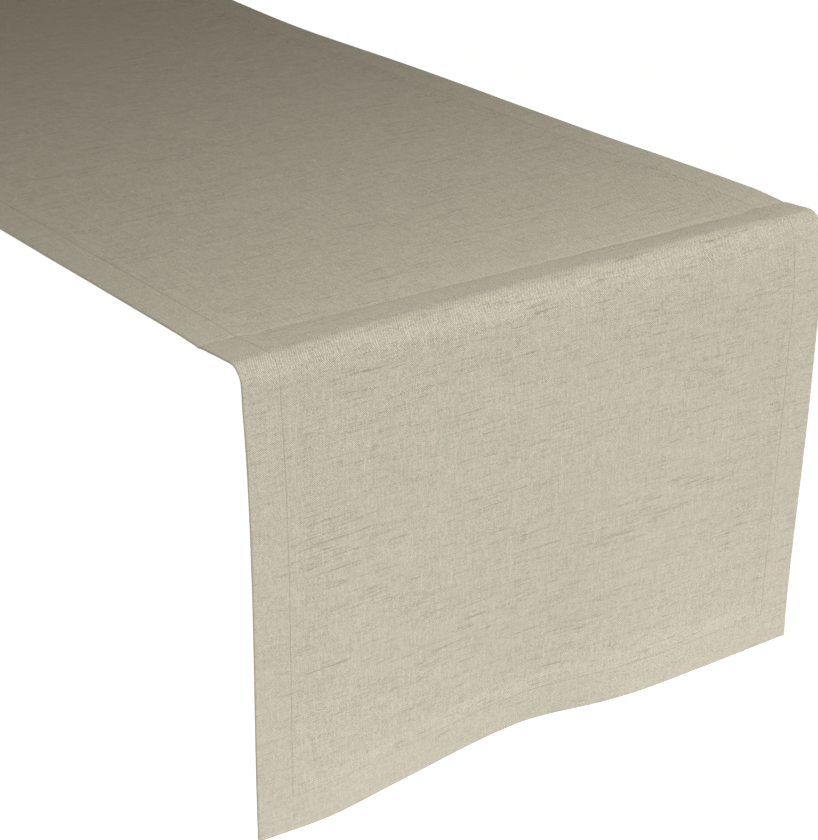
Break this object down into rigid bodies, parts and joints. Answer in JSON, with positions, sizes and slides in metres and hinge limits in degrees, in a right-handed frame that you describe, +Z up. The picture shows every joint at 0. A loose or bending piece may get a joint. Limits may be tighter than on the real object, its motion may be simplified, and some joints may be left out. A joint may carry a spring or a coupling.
{
  "type": "table runner",
  "caption": "Rectangular natural linen table runner with turned, stitched hems, lying along a table top with its ends hanging over the table's ends.",
  "frame": {"origin": "the middle of the underside that lies on the table top", "axes": "+X along the runner to its near end, +Y across it to the right edge as seen from beyond the near end, +Z up out of the table top"},
  "size_m": [1.2638, 0.406, 0.2917],
  "materials": {
    "linen": "matte plain-weave slub linen",
    "thread": "matte sewing thread"
  },
  "bodies": {
    "top": {"top_cloth": "linen", "top_left_bobbin_thread": "thread", "top_left_hem": "linen", "top_left_needle_thread": "thread", "top_right_bobbin_thread": "thread", "top_right_hem": "linen", "top_right_needle_thread": "thread", "near_bend_cloth": "linen", "near_bend_left_bobbin_thread": "thread", "near_bend_left_hem": "linen", "near_bend_left_needle_thread": "thread", "near_bend_right_bobbin_thread": "thread", "near_bend_right_hem": "linen", "near_bend_right_needle_thread": "thread", "far_bend_cloth": "linen", "far_bend_left_bobbin_thread": "thread", "far_bend_left_hem": "linen", "far_bend_left_needle_thread": "thread", "far_bend_right_bobbin_thread": "thread", "far_bend_right_hem": "linen", "far_bend_right_needle_thread": "thread"},
    "near_drop": {"near_drop_cloth": "linen", "near_drop_end_bobbin_thread": "thread", "near_drop_end_hem": "linen", "near_drop_end_needle_thread": "thread", "near_drop_left_bobbin_thread": "thread", "near_drop_left_hem": "linen", "near_drop_left_needle_thread": "thread", "near_drop_right_bobbin_thread": "thread", "near_drop_right_hem": "linen", "near_drop_right_needle_thread": "thread"},
    "far_drop": {"far_drop_cloth": "linen", "far_drop_end_bobbin_thread": "thread", "far_drop_end_hem": "linen", "far_drop_end_needle_thread": "thread", "far_drop_left_bobbin_thread": "thread", "far_drop_left_hem": "linen", "far_drop_left_needle_thread": "thread", "far_drop_right_bobbin_thread": "thread", "far_drop_right_hem": "linen", "far_drop_right_needle_thread": "thread"}
  },
  "joints": [
    {"name": "near_drop_lift", "type": "hinge", "parent": "top", "child": "near_drop", "pos_m": [0.62731, 0, -0.00281], "axis": [0, -1, 0], "range_deg": [0, 90], "deforming": ["near_bend_cloth", "near_bend_left_bobbin_thread", "near_bend_left_hem", "near_bend_left_needle_thread", "near_bend_right_bobbin_thread", "near_bend_right_hem", "near_bend_right_needle_thread"]},
    {"name": "far_drop_lift", "type": "hinge", "parent": "top", "child": "far_drop", "pos_m": [-0.62731, 0, -0.00281], "axis": [0, 1, 0], "range_deg": [0, 90], "deforming": ["far_bend_cloth", "far_bend_left_bobbin_thread", "far_bend_left_hem", "far_bend_left_needle_thread", "far_bend_right_bobbin_thread", "far_bend_right_hem", "far_bend_right_needle_thread"]}
  ]
}
